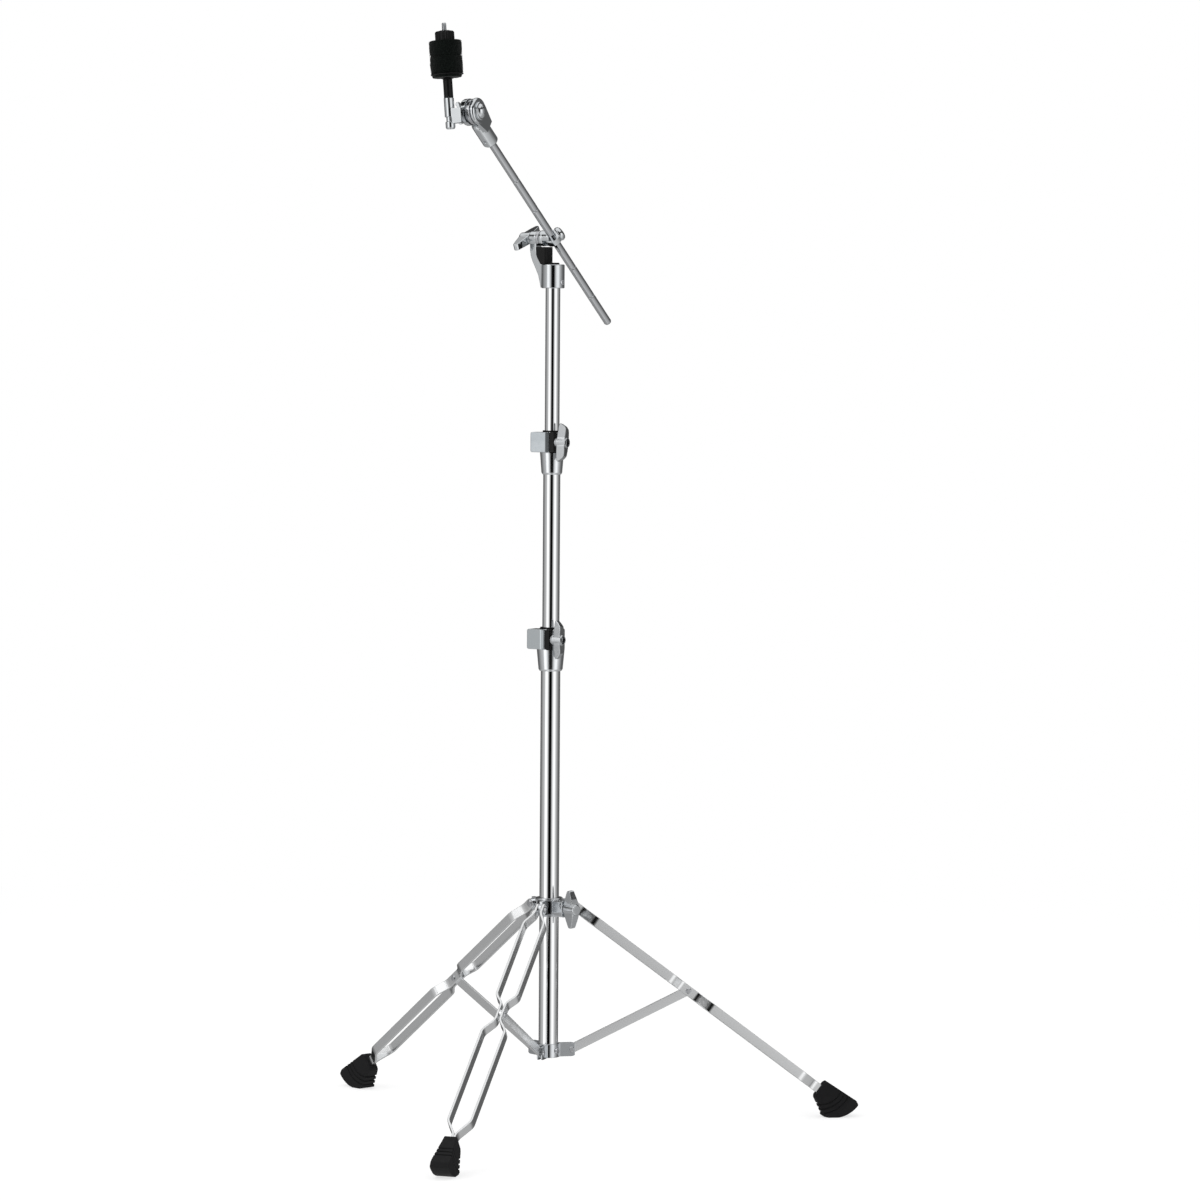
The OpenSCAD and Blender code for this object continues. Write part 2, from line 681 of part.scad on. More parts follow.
module tilter_nut() color(bright) tilter_frame() translate([9.2, 0, 0]) rotate([0, 90, 0])
    rotate([0, 0, 130]) difference() {
        union() {
            rotate_extrude() polygon([[0, 0], [6, 0], [6, 1.5], [5.2, 9], [4.6, 10], [0, 10]]);
            for (a = [0, 180]) rotate([0, 0, a]) rotate([90, 0, 0]) translate([0, 0, -1.6])
                linear_extrude(3.2) {
                    polygon([[0, 0.5], [5, 0.5], [8, 4], [12.6, 5.6], [12.6, 11], [7, 9], [0, 8]]);
                    translate([11.5, 8.3]) circle(r = 2.8);
                }
        }
        translate([0, 0, -1]) cylinder(r = 4 + fit, h = 12);
    }

// round disc with a lug in front of it and the upright boss for the post
module tilter_head() color(bright) head_frame() difference() {
    union() {
        translate([0.1, 0, 0]) rotate([0, 90, 0]) rotate_extrude() polygon([[2, 0], [17, 0],
            [17, 6], [16.2, 7.8], [14.6, 8.7], [2, 8.7]]);
        box(0.1, 8.8, 8, 26, -14, 5);
        box(8, post_x, 16.2, 26, -14, 5);
        translate([post_x, post_y, -5.4]) cylinder(r = 6.4, h = 23.8);
    }
    rod_x(4 + fit, -1, 12);
    translate([post_x, post_y, -20]) cylinder(r = 6.4, h = 14.6);
    translate([post_x, post_y, -7]) cylinder(r = post_r, h = 30);
}

// a relief groove, covered by the nut, sets off the free tip of the post
module post() color(steel) post_frame() {
    translate([0, 0, -19]) cylinder(r = post_r, h = 121.2);
    translate([0, 0, 102]) cylinder(r = post_r - 0.4, h = 1.6);
    translate([0, 0, 103.4]) cylinder(r = post_r, h = 8.2);
    translate([0, 0, 111.6]) cylinder(r1 = post_r, r2 = post_r - 1, h = 1.2);
}

module post_lock() color(steel) post_frame() difference() {
    rotate_extrude() polygon([[post_r, -5.4], [4.7, -5.4], [4.7, -11], [6.1, -12], [6.1, -18.4],
        [5, -20.5], [post_r, -20.5]]);
    translate([0, -4.5, -15.2]) rod_y(1.6, -4, 3);
}

// ---- cymbal seat ----

module seat_sleeve() color(black) post_frame() difference() {
    union() {
        translate([0, 0, 18.4]) cylinder(r = 5.9, h = 24);
        translate([0, 0, 42]) cylinder(r = 4.5, h = 44);
    }
    translate([0, 0, 17]) cylinder(r = post_r, h = 72);
}

module seat_cup() color(black) post_frame() rotate_extrude() polygon([[4.5, 42.4], [7, 42.4],
    [20.6, 47.6], [20.8, 48.2], [20.2, 48.6], [6.8, 43.9], [4.5, 43.9]]);

module lower_felt() color(felt) post_frame() rotate_extrude() polygon([[4.6, 43.9],
    [6.8, 43.9], [felt_d / 2 - 1, 48.4], [felt_d / 2 - 0.2, 50], [felt_d / 2, 70],
    [felt_d / 2 - 1, 71], [4.6, 71]]);

module upper_felt() color(felt) post_frame() rotate_extrude() polygon([[4.6, 71],
    [felt_d / 2 - 0.8, 71], [felt_d / 2, 72.2], [felt_d / 2 - 0.2, 89], [felt_d / 2 - 1.2, 90.4],
    [4.6, 90.4]]);

module cymbal_nut() color(black) post_frame() translate([0, 0, 90.5]) difference() {
    rotate_extrude() polygon([[post_r + fit, 0], [12.3, 0], [12.3, 10], [11, 11.6], [7, 12],
        [6.6, 12.6], [post_r + fit, 12.6]]);
    for (a = [0 : 30 : 330]) rotate([0, 0, a]) translate([13.3, 0, -1]) cylinder(r = 1.8, h = 16);
}

// ---- drawing ----

base_tube();
base_plug();
lower_bracket();
bracket_pins();
bracket_screw();
lower_clamp();
lower_bush();
lower_clamp_bolt();
lower_washer();
lower_wing_nut();
leg_collar();
collar_rivets();
collar_wing_bolt();
front_strip_a();
front_strip_b();
front_rivet();
front_foot();
front_brace();
right_strip_a();
right_strip_b();
right_rivet();
right_foot();
right_brace();
left_strip_a();
left_strip_b();
left_rivet();
left_foot();
left_brace();
middle_guide();
middle_tube();
upper_clamp();
upper_bush();
upper_clamp_bolt();
upper_washer();
upper_wing_nut();
upper_guide();
upper_tube();
boom_bracket();
boom_bracket_screw();
bracket_block();
boom_disc();
boom_clamp();
boom_eye_bolt();
boom_washer();
boom_wing_nut();
boom_rod();
tilter_socket();
socket_screw();
tilter_disc();
tilter_bolt();
tilter_nut();
tilter_head();
post();
post_lock();
seat_sleeve();
seat_cup();
lower_felt();
upper_felt();
cymbal_nut();
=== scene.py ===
import json
import math
import random

import bpy
from mathutils import Matrix, Vector, noise


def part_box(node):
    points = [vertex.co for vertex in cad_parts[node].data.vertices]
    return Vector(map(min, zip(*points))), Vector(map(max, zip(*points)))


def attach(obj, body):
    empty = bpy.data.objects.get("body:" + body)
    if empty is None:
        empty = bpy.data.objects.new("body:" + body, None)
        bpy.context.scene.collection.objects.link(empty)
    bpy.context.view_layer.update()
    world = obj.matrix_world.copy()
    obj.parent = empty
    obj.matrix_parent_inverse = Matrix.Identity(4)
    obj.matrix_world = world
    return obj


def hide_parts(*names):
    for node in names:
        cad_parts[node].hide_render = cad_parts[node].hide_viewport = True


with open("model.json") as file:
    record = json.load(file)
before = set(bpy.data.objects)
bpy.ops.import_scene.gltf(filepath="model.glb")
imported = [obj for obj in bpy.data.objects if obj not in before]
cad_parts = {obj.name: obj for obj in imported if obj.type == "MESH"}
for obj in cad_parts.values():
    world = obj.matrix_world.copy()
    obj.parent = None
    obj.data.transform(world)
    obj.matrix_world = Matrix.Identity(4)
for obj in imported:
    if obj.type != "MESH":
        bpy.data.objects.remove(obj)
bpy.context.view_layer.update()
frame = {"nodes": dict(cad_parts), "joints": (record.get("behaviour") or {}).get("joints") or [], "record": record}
nodes = frame["nodes"]
joints = {joint["name"]: joint for joint in frame["joints"]}
mounts = {mount["name"]: mount for mount in frame["record"]["mounts"]}

MM = 0.001
LEGS = ("front", "right", "left")

# all sizes below are in mm
# centre line of one leg strip, along the leg from its pivot and sideways from its middle
STRIP_LINE = [
    (-6.25, 4.05), (14, 4.05), (32, 13.8), (164, 13.8), (178, 3.1), (208, 3.1),
    (226, 15.2), (384, 15.2), (406, 1.5), (444, 1.5),
]
STRIP_WIDTH = 12.5
STRIP_THICK = 3.0
STRIP_EDGE = 0.55
BRACE_WIDTH = 12.0
BRACE_THICK = 3.0
BRACE_EDGE = 0.5
# distance of the braces' lower pivots from the column's axis
BRACE_PIVOT_R = 30.1
TUBE_WALL = 1.2
BOOM_ROD_R = 5.0
# places of the rod's grooves, along it from the boom's tilt axis
ROD_GROOVES = (-114, -57, 57, 114)
# heights on the post are measured from the tilter's pivot
TIP_HEIGHT = 107.5
POST_LOW = -19
POST_TOP = 112.8
POST_CHAMFER = 111.6
POST_R = 3.0
THREAD_LOW = 85
THREAD_HIGH = 112.2
THREAD_PITCH = 1.0
THREAD_DEPTH = 0.42
# the thread's rings of points start below it and are this far apart
RING_LOW = 84.2
RING_STEP = 0.1
RING_COUNT = 279
FELT_BORE_R = 4.6


# ---- placing ----

def middle(node):
    low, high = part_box(node)
    return (low + high) / 2


def frame_matrix(origin, x_axis, y_axis, z_axis):
    matrix = Matrix((x_axis, y_axis, z_axis)).transposed().to_4x4()
    matrix.translation = origin
    return matrix


def frame_along(origin, z_axis):
    z = Vector(z_axis).normalized()
    x = z.orthogonal().normalized()
    return frame_matrix(Vector(origin), x, z.cross(x), z)


column = middle("base_tube")
column.z = 0


def leg_matrix(leg):
    """The leg's own frame: X down the leg from its pivot, Y across it."""
    swing = joints[leg + "_leg_swing"]
    pivot = Vector(swing["pos_m"])
    across = Vector(swing["axis"]).normalized()
    down = (Vector(joints[leg + "_brace_swing"]["pos_m"]) - pivot).normalized()
    return frame_matrix(pivot, down, across, down.cross(across))


def brace_ends(leg):
    """The brace's lower pivot at the bracket and its upper one on the leg."""
    top = Vector(joints[leg + "_brace_swing"]["pos_m"])
    outward = top - column
    outward.z = 0
    low = column + outward.normalized() * BRACE_PIVOT_R * MM
    low.z = middle("lower_bracket").z
    return low, top


# ---- mesh building ----

def new_piece(name, verts, faces, body, slot, matrix, replaces=(), uvs=None):
    """A piece of the looks that rides a body, with the finish of its slot."""
    mesh = bpy.data.meshes.new(name)
    mesh.from_pydata(verts, [], faces)
    if uvs:
        layer = mesh.uv_layers.new(name="run")
        for loop in mesh.loops:
            layer.data[loop.index].uv = uvs[loop.vertex_index]
    mesh.validate()
    mesh.polygons.foreach_set("use_smooth", [True] * len(mesh.polygons))
    mesh.set_sharp_from_angle(angle=math.radians(32))
    mesh.materials.append(FINISHES[slot])
    mesh.transform(matrix)
    piece = bpy.data.objects.new(name, mesh)
    bpy.context.scene.collection.objects.link(piece)
    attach(piece, body)
    if replaces:
        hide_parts(*replaces)
    return piece


def ring_faces(rows, count, closed):
    """Quads between neighbouring rings of points; closed joins the last ring to the first."""
    faces = []
    for i in range(rows if closed else rows - 1):
        j = (i + 1) % rows
        for k in range(count):
            n = (k + 1) % count
            faces.append((i * count + k, i * count + n, j * count + n, j * count + k))
    return faces


def capped_faces(rows, count):
    """Rings of points joined to their neighbours, with one face over each end."""
    faces = ring_faces(rows, count, False)
    faces.append(tuple(range(count))[::-1])
    faces.append(tuple(range((rows - 1) * count, rows * count)))
    return faces


def held(run):
    """The same profile with a ring 1 mm from each end of a long side, which keeps it straight."""
    out = []
    for a, b in zip(run, run[1:]):
        out.append(a)
        a, b = Vector(a), Vector(b)
        if (b - a).length > 5:
            step = (b - a).normalized()
            out += [tuple(a + step), tuple(b - step)]
    return out + [run[-1]]


def lathe(profile, segments=128, shape=None):
    """Turns (radius, height) points in mm about Z. A profile that starts and ends on the axis
    runs upwards and makes a solid, any other one a ring. shape changes a radius with angle
    and height."""
    solid = profile[0][0] == 0
    verts, uvs = [], []
    run = held(profile[1:-1] if solid else profile)
    for radius, height in run:
        for k in range(segments):
            angle = 2 * math.pi * k / segments
            r = shape(radius, height, angle) if shape else radius
            verts.append((r * math.cos(angle) * MM, r * math.sin(angle) * MM, height * MM))
            uvs.append((height * MM, radius * angle * MM))
    faces = [face[::-1] for face in ring_faces(len(run), segments, not solid)]
    if solid:
        for end, ring in ((profile[0], 0), (profile[-1], len(run) - 1)):
            centre = len(verts)
            verts.append((0, 0, end[1] * MM))
            uvs.append((end[1] * MM, 0))
            for k in range(segments):
                a, b = ring * segments + k, ring * segments + (k + 1) % segments
                faces.append((centre, b, a) if ring == 0 else (centre, a, b))
    return verts, faces, uvs


def rounded_section(width, thick, radius, steps=3):
    """Outline of a flat bar with rolled edges: (across the thickness, across the width)."""
    points = []
    for sx, sy, start in ((1, 1, 0), (-1, 1, 90), (-1, -1, 180), (1, -1, 270)):
        for k in range(steps + 1):
            a = math.radians(start + 90 * k / steps)
            points.append((sx * (thick / 2 - radius) + radius * math.cos(a),
                           sy * (width / 2 - radius) + radius * math.sin(a)))
    return points


def eased(line, reach, steps):
    """Every inner corner of a line drawn as a curve that starts reach before it."""
    points = [Vector(line[0])]
    for a, b, c in zip(line, line[1:], line[2:]):
        a, b, c = Vector(a), Vector(b), Vector(c)
        p = b + (a - b).normalized() * reach
        q = b + (c - b).normalized() * reach
        for k in range(steps + 1):
            t = k / steps
            points.append(p * (1 - t) ** 2 + b * 2 * t * (1 - t) + q * t * t)
    points.append(Vector(line[-1]))
    return points


def filled_in(points, step):
    """The same line with no gap longer than step."""
    out = [points[0]]
    for a, b in zip(points, points[1:]):
        count = max(1, math.ceil((b - a).length / step))
        out += [a.lerp(b, k / count) for k in range(1, count + 1)]
    return out


def bar(line, width, thick, radius, round_start, round_end):
    """A flat bar bent along a line in its own XY plane, with round or square ends, in mm."""
    section = rounded_section(width, thick, radius)
    half = width / 2
    length = sum((b - a).length for a, b in zip(line, line[1:]))
    verts, uvs, run = [], [], 0
    for i, point in enumerate(line):
        before, after = line[max(i - 1, 0)], line[min(i + 1, len(line) - 1)]
        if i:
            run += (point - before).length
        tangent = (after - before).normalized()
        normal = Vector((-tangent.y, tangent.x))
        rest = min(run if round_start else half, (length - run) if round_end else half, half)
        share = math.sqrt(max(1 - ((half - rest) / half) ** 2, 0.0004))
        for across, up in section:
            place = point + normal * across
            verts.append((place.x * MM, place.y * MM, up * share * MM))
            uvs.append((run * MM, up * MM))
    return verts, capped_faces(len(line), len(section)), uvs


def even_faces(piece):
    """Lets each flat side shade as a flat side, with the light turning only at its rolled edges."""
    even = piece.modifiers.new("even_faces", "WEIGHTED_NORMAL")
    even.weight = 100
    even.keep_sharp = True


def round_end_steps(start, direction, radius, count=10):
    """Places along a bar, close together where its round end curves."""
    return [start + direction * radius * (1 - math.cos(math.pi / 2 * k / count))
            for k in range(count)]


# ---- materials ----

def add_node(tree, kind, values=None, **settings):
    """One shader node; values are its inputs, as numbers or as sockets to link."""
    made = tree.nodes.new("ShaderNode" + kind)
    for key, value in settings.items():
        setattr(made, key, value)
    for key, value in (values or {}).items():
        if isinstance(value, bpy.types.NodeSocket):
            tree.links.new(value, made.inputs[key])
        else:
            made.inputs[key].default_value = value
    return made


def smooth_share(tree, value, start, end, top=1.0):
    """Rises smoothly from 0 where value is start to top where it is end."""
    return add_node(tree, "MapRange", {
        "Value": value, "From Min": start, "From Max": end, "To Max": top},
        interpolation_type="SMOOTHSTEP").outputs["Result"]


class Finish:
    """A node material: a Principled shader and the textures that drive it."""

    def __init__(self, name, color, metallic=0.0, roughness=0.5, **sockets):
        self.material = bpy.data.materials.new(name)
        self.material.use_nodes = True
        self.tree = self.material.node_tree
        self.shader = self.tree.nodes["Principled BSDF"]
        self.shader.inputs["Base Color"].default_value = (*color, 1)
        self.shader.inputs["Metallic"].default_value = metallic
        self.shader.inputs["Roughness"].default_value = roughness
        for socket, value in sockets.items():
            self.shader.inputs[socket.replace("_", " ")].default_value = value
        self.bump_out = None

    def add(self, kind, values=None, **settings):
        return add_node(self.tree, kind, values, **settings)

    def coords(self, scale, source="Object"):
        """Coordinates in which one unit is 1 m divided by scale along each axis."""
        place = self.add("TexCoord").outputs[source]
        return self.add("Mapping", {"Vector": place, "Scale": scale}).outputs["Vector"]

    def noise(self, scale, detail=3.0, rough=0.55, source="Object", warp=0.0):
        return self.add("TexNoise", {
            "Vector": self.coords(scale, source), "Scale": 1.0, "Detail": detail,
            "Roughness": rough, "Distortion": warp}).outputs["Fac"]

    def spread(self, value, low, high, from_low=0.3, from_high=0.7):
        return self.add("MapRange", {
            "Value": value, "From Min": from_low, "From Max": from_high,
            "To Min": low, "To Max": high}).outputs["Result"]

    def color(self, factor, dark, light):
        mix = self.add("Mix", data_type="RGBA")
        self.tree.links.new(factor, mix.inputs[0])
        mix.inputs[6].default_value = (*dark, 1)
        mix.inputs[7].default_value = (*light, 1)
        self.tree.links.new(mix.outputs[2], self.shader.inputs["Base Color"])

    def rough(self, value):
        self.tree.links.new(value, self.shader.inputs["Roughness"])

    def bump(self, height, strength, distance):
        """Adds one more layer of relief; distance is its depth in mm."""
        values = {"Height": height, "Strength": strength, "Distance": distance * MM}
        if self.bump_out:
            values["Normal"] = self.bump_out
        self.bump_out = self.add("Bump", values).outputs["Normal"]
        self.tree.links.new(self.bump_out, self.shader.inputs["Normal"])


def even(size):
    """Scale that puts one texture feature about every size millimetres."""
    return (1000 / size,) * 3


def chrome_tube():
    finish = Finish("tube_chrome", (0.92, 0.93, 0.94), 1.0, 0.03)
    smudge = finish.noise(even(38), 4.0, 0.6)
    scratch = finish.noise((2600, 2600, 22), 2.0, 0.5)
    finish.color(smudge, (0.9, 0.91, 0.92), (0.95, 0.96, 0.965))
    finish.rough(finish.spread(smudge, 0.018, 0.05))
    finish.bump(scratch, 0.03, 0.002)
    finish.bump(finish.noise(even(14), 2.0), 0.04, 0.006)
    return finish.material


def chrome_casting():
    finish = Finish("casting_chrome", (0.8, 0.82, 0.84), 1.0, 0.1)
    smudge = finish.noise(even(16), 4.0, 0.6)
    finish.color(smudge, (0.66, 0.685, 0.705), (0.78, 0.805, 0.82))
    finish.rough(finish.spread(smudge, 0.05, 0.1))
    finish.bump(finish.noise(even(7), 3.0), 0.1, 0.02)
    finish.bump(finish.noise(even(0.8), 2.0), 0.05, 0.003)
    return finish.material


def chrome_round(name, reach_mm, near, far):
    """Chrome painted one colour within reach_mm of the column's axis and another one beyond. The darker colour is
    painted shade; on the clamps' and bracket's lugs it is partly also a duller finish.
    """
    finish = Finish(name, (0.8, 0.82, 0.84), 1.0, 0.1)
    place = finish.add("TexCoord").outputs["Object"]
    off_axis = finish.add("Mapping", {
        "Vector": place, "Location": (-column.x, -column.y, 0), "Scale": (1, 1, 0)})
    reach = finish.add("VectorMath", {0: off_axis.outputs[0]}, operation="LENGTH")
    outside = finish.spread(reach.outputs["Value"], 0, 0.85, reach_mm * MM,
                            (reach_mm + 0.8) * MM)
    smudge = finish.noise(even(12), 4.0, 0.6)
    share = finish.add("Math", {0: outside, 1: finish.spread(smudge, 0, 0.15)}, operation="ADD")
    finish.color(share.outputs[0], near, far)
    finish.rough(finish.spread(smudge, 0.08, 0.16))
    finish.bump(finish.noise(even(7), 3.0), 0.12, 0.02)
    finish.bump(finish.noise(even(0.8), 2.0), 0.05, 0.003)
    return finish.material


def satin_wing(name, shade):
    """The duller chrome of a die-cast wing nut; shade sets its brightness, which also carries painted light and
    shade for where the nut sits.
    """
    finish = Finish(name, (shade,) * 3, 1.0, 0.2)
    smudge = finish.noise(even(9), 4.0, 0.6)
    finish.color(smudge, (shade * 0.86, shade * 0.89, shade * 0.92),
                 (shade * 1.1, shade * 1.13, shade * 1.15))
    finish.rough(finish.spread(smudge, 0.13, 0.22))
    finish.bump(finish.noise(even(5), 3.0), 0.15, 0.03)
    finish.bump(finish.noise(even(0.8), 2.0), 0.08, 0.004)
    return finish.material


def slit_steel_painted_shade():
    """Steel of the bolts in the clamps' slits, painted dark as the shade inside the slits."""
    finish = Finish("slit_steel_painted_shade", (0.12, 0.12, 0.125), 1.0, 0.3)
    dark_mottle = finish.noise(even(2), 4.0, 0.6)
    finish.color(dark_mottle, (0.06, 0.06, 0.063), (0.2, 0.2, 0.205))
    finish.rough(finish.spread(dark_mottle, 0.22, 0.38))
    finish.bump(finish.noise(even(0.6), 3.0), 0.2, 0.01)
    return finish.material


def chrome_strip():
    finish = Finish("strip_chrome", (0.84, 0.85, 0.87), 1.0, 0.2)
    cloud = finish.noise((60, 160, 1), 4.0, 0.6, "UV")
    grain = finish.noise((160, 5200, 1), 3.0, 0.6, "UV")
    finish.color(cloud, (0.86, 0.875, 0.885), (0.94, 0.945, 0.95))
    finish.rough(finish.spread(cloud, 0.14, 0.22))
    finish.bump(grain, 0.2, 0.004)
    finish.bump(finish.noise(even(18), 2.0), 0.15, 0.02)
    return finish.material


def satin_rod():
    finish = Finish("rod_satin", (0.68, 0.69, 0.71), 1.0, 0.24)
    cloud = finish.noise((45, 220, 1), 4.0, 0.6, "UV")
    turned = finish.noise((7200, 60, 1), 2.0, 0.6, "UV")
    finish.color(cloud, (0.55, 0.565, 0.585), (0.68, 0.695, 0.71))
    finish.rough(finish.spread(cloud, 0.1, 0.16))
    finish.bump(turned, 0.15, 0.004)
    return finish.material


def zinc():
    """Bright zinc on rivets, screws and washers."""
    finish = Finish("zinc_steel", (0.66, 0.67, 0.69), 1.0, 0.28)
    cloud = finish.noise(even(3), 4.0, 0.6)
    finish.color(cloud, (0.5, 0.51, 0.53), (0.74, 0.75, 0.77))
    finish.rough(finish.spread(cloud, 0.16, 0.32))
    finish.bump(finish.noise(even(0.7), 3.0), 0.2, 0.012)
    return finish.material


def black_moulding(name, shade, roughness, grain):
    finish = Finish(name, (shade,) * 3, 0.0, roughness, Specular_IOR_Level=0.25)
    cloud = finish.noise(even(7), 4.0, 0.6)
    finish.color(cloud, (shade * 0.6,) * 3, (shade * 1.4, shade * 1.42, shade * 1.45))
    finish.rough(finish.spread(cloud, roughness - 0.07, roughness + 0.1))
    finish.bump(finish.noise(even(grain), 3.0, 0.65), 0.3, 0.025)
    return finish.material


def foot_rubber():
    finish = Finish("foot_rubber", (0.01,) * 3, 0.0, 0.6, Specular_IOR_Level=0.2)
    bloom = finish.noise(even(12), 5.0, 0.65)
    finish.color(bloom, (0.004, 0.004, 0.0045), (0.016, 0.016, 0.017))
    finish.rough(finish.spread(bloom, 0.45, 0.7))
    finish.bump(finish.noise(even(0.45), 4.0, 0.7), 0.4, 0.04)
    finish.bump(finish.noise(even(5), 3.0), 0.3, 0.1)
    return finish.material


def black_felt():
    finish = Finish("wool_felt", (0.005, 0.007, 0.006), 0.0, 0.95, Specular_IOR_Level=0.04,
                    Sheen_Weight=0.1, Sheen_Roughness=0.5)
    tufts = finish.noise(even(1.6), 6.0, 0.75, warp=1.4)
    finish.color(finish.spread(tufts, 0, 1, 0.4, 0.72), (0.0015, 0.002, 0.0018),
                 (0.011, 0.0155, 0.013))
    finish.bump(finish.noise(even(0.35), 4.0, 0.7, warp=1.0), 0.8, 0.16)
    finish.bump(tufts, 0.7, 0.4)
    return finish.material


FINISHES = {
    "tube_chrome": chrome_tube(),
    "cast_chrome": chrome_casting(),
    "strip_chrome": chrome_strip(),
    "rod_chrome": satin_rod(),
    "fastener_steel": zinc(),
    "black_nylon": black_moulding("moulded_nylon", 0.005, 0.42, 0.5),
    "black_plastic": black_moulding("satin_plastic", 0.004, 0.36, 0.8),
    "foot_rubber": foot_rubber(),
    "felt": black_felt(),
}
POLISHED = (0.84, 0.86, 0.88)
# the clamps' lugs and the bracket's tabs are painted darker than their round parts, partly a duller finish and
# partly painted shade, darkest on the upper clamp;
# the collar's groove between its flanges is painted dark as shade
NODE_FINISHES = {
    "lower_clamp": chrome_round("lower_clamp_chrome", 18.4, POLISHED, (0.56, 0.6, 0.62)),
    "upper_clamp": chrome_round("upper_clamp_chrome_painted_lug_shade", 15.8, POLISHED, (0.38, 0.41, 0.43)),
    "lower_bracket": chrome_round("bracket_chrome", 14.9, (0.7, 0.72, 0.74), (0.56, 0.58, 0.6)),
    "leg_collar": chrome_round("collar_chrome_painted_groove_shade", 15.7, (0.14, 0.145, 0.15), (0.74, 0.76, 0.78)),
    # the wing nuts share one finish, painted lighter or darker for the light each one gets: painted light and
    # shade
    "lower_wing_nut": satin_wing("lower_wing_satin", 0.6),
    "upper_wing_nut": satin_wing("upper_wing_satin_painted_shade", 0.42),
    "collar_wing_bolt": satin_wing("collar_wing_satin", 0.66),
    # the clamp bolts are painted dark as shade in the slits
    "lower_clamp_bolt": slit_steel_painted_shade(),
    "upper_clamp_bolt": slit_steel_painted_shade(),
}


def finish_cad_nodes():
    """Every CAD node gets the finish of its material slot, or the one made for it."""
    slots = {part["node"]: part["material_slot"] for part in frame["record"]["subparts"]}
    for name, node in nodes.items():
        node.data.materials.clear()
        node.data.materials.append(NODE_FINISHES.get(name, FINISHES[slots[name]]))


def soften(node, voxel, passes):
    """Gives a CAD node the rounded edges of a cast, moulded or pressed piece."""
    weld = nodes[node].modifiers.new("weld", "WELD")
    weld.merge_threshold = 0.00001
    skin = nodes[node].modifiers.new("skin", "REMESH")
    skin.mode = "VOXEL"
    skin.voxel_size = voxel * MM * 1
    skin.use_smooth_shade = True
    round_off = nodes[node].modifiers.new("round_off", "SMOOTH")
    round_off.factor = 0.5
    round_off.iterations = passes


# nodes, voxel size in mm, smoothing passes
SOFTENED = (
    (("lower_clamp", "upper_clamp", "boom_bracket", "leg_collar", "lower_wing_nut",
      "upper_wing_nut", "collar_wing_bolt", "boom_wing_nut"), 0.45, 4),
    (("boom_clamp", "boom_eye_bolt", "tilter_socket", "tilter_head", "tilter_nut",
      "tilter_bolt", "lower_bracket", "post_lock", "seat_cup", "cymbal_nut"), 0.35, 3),
    ([leg + "_foot" for leg in LEGS], 0.45, 2),
    ([leg + "_rivet" for leg in LEGS], 0.22, 3),
    (("bracket_pins", "bracket_screw", "collar_rivets", "boom_bracket_screw",
      "socket_screw"), 0.22, 2),
    (("lower_bush", "upper_bush", "bracket_block", "base_plug", "seat_sleeve",
      "lower_clamp_bolt", "upper_clamp_bolt", "lower_washer", "upper_washer",
      "boom_washer", "boom_disc", "tilter_disc"), 0.35, 2),
)


def soften_cad_nodes():
    for group, voxel, passes in SOFTENED:
        for node in group:
            soften(node, voxel, passes)


# ---- tubes and rod ----

def tube_piece(node, body):
    """A drawn tube: its outer edges are rolled, its inner ones broken."""
    low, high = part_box(node)
    r = (high.x - low.x) / 2 / MM
    inner = r - TUBE_WALL
    z0, z1 = low.z / MM, high.z / MM
    rolled, shoulder, broken = 0.4, 0.12, 0.3
    profile = [(r, z0 + rolled), (r, z1 - rolled), (r - shoulder, z1 - shoulder),
               (r - rolled, z1), (inner + broken, z1), (inner, z1 - broken),
               (inner, z0 + broken), (inner + broken, z0), (r - rolled, z0),
               (r - shoulder, z0 + shoulder)]
    verts, faces, uvs = lathe(profile, 160)
    place = Matrix.Translation(column)
    new_piece(node + "_drawn", verts, faces, body, "tube_chrome", place, (node,), uvs)


def boom_rod_piece():
    """The rod: shallow grooves, a long bevel on its tail, a short one in the tilter's socket."""
    axis = Vector(joints["boom_slide"]["axis"]).normalized()
    centre = Vector(joints["boom_tilt"]["pos_m"])
    along = [(vertex.co - centre).dot(axis) / MM for vertex in nodes["boom_rod"].data.vertices]
    r = BOOM_ROD_R
    tail, tip = min(along), max(along)
    profile = [(0, tail), (r - 1.6, tail), (r - 0.5, tail + 0.7), (r, tail + 2)]
    for groove in ROD_GROOVES:
        profile += [(r, groove - 1.3), (r - 0.3, groove - 1), (r - 0.5, groove - 0.5),
                    (r - 0.5, groove + 0.5), (r - 0.3, groove + 1), (r, groove + 1.3)]
    profile += [(r, tip - 0.4), (r - 0.4, tip), (0, tip)]
    verts, faces, uvs = lathe(profile, 96)
    new_piece("boom_rod_turned", verts, faces, "boom_arm", "rod_chrome",
              frame_along(centre, axis), ("boom_rod",), uvs)


def post_matrix():
    """The post's own frame: Z along it, zero at the tilter's pivot."""
    tip = mounts["post_tip"]
    axis = Vector(tip["axis"]).normalized()
    return frame_along(Vector(tip["pos_m"]) - axis * TIP_HEIGHT * MM, axis)


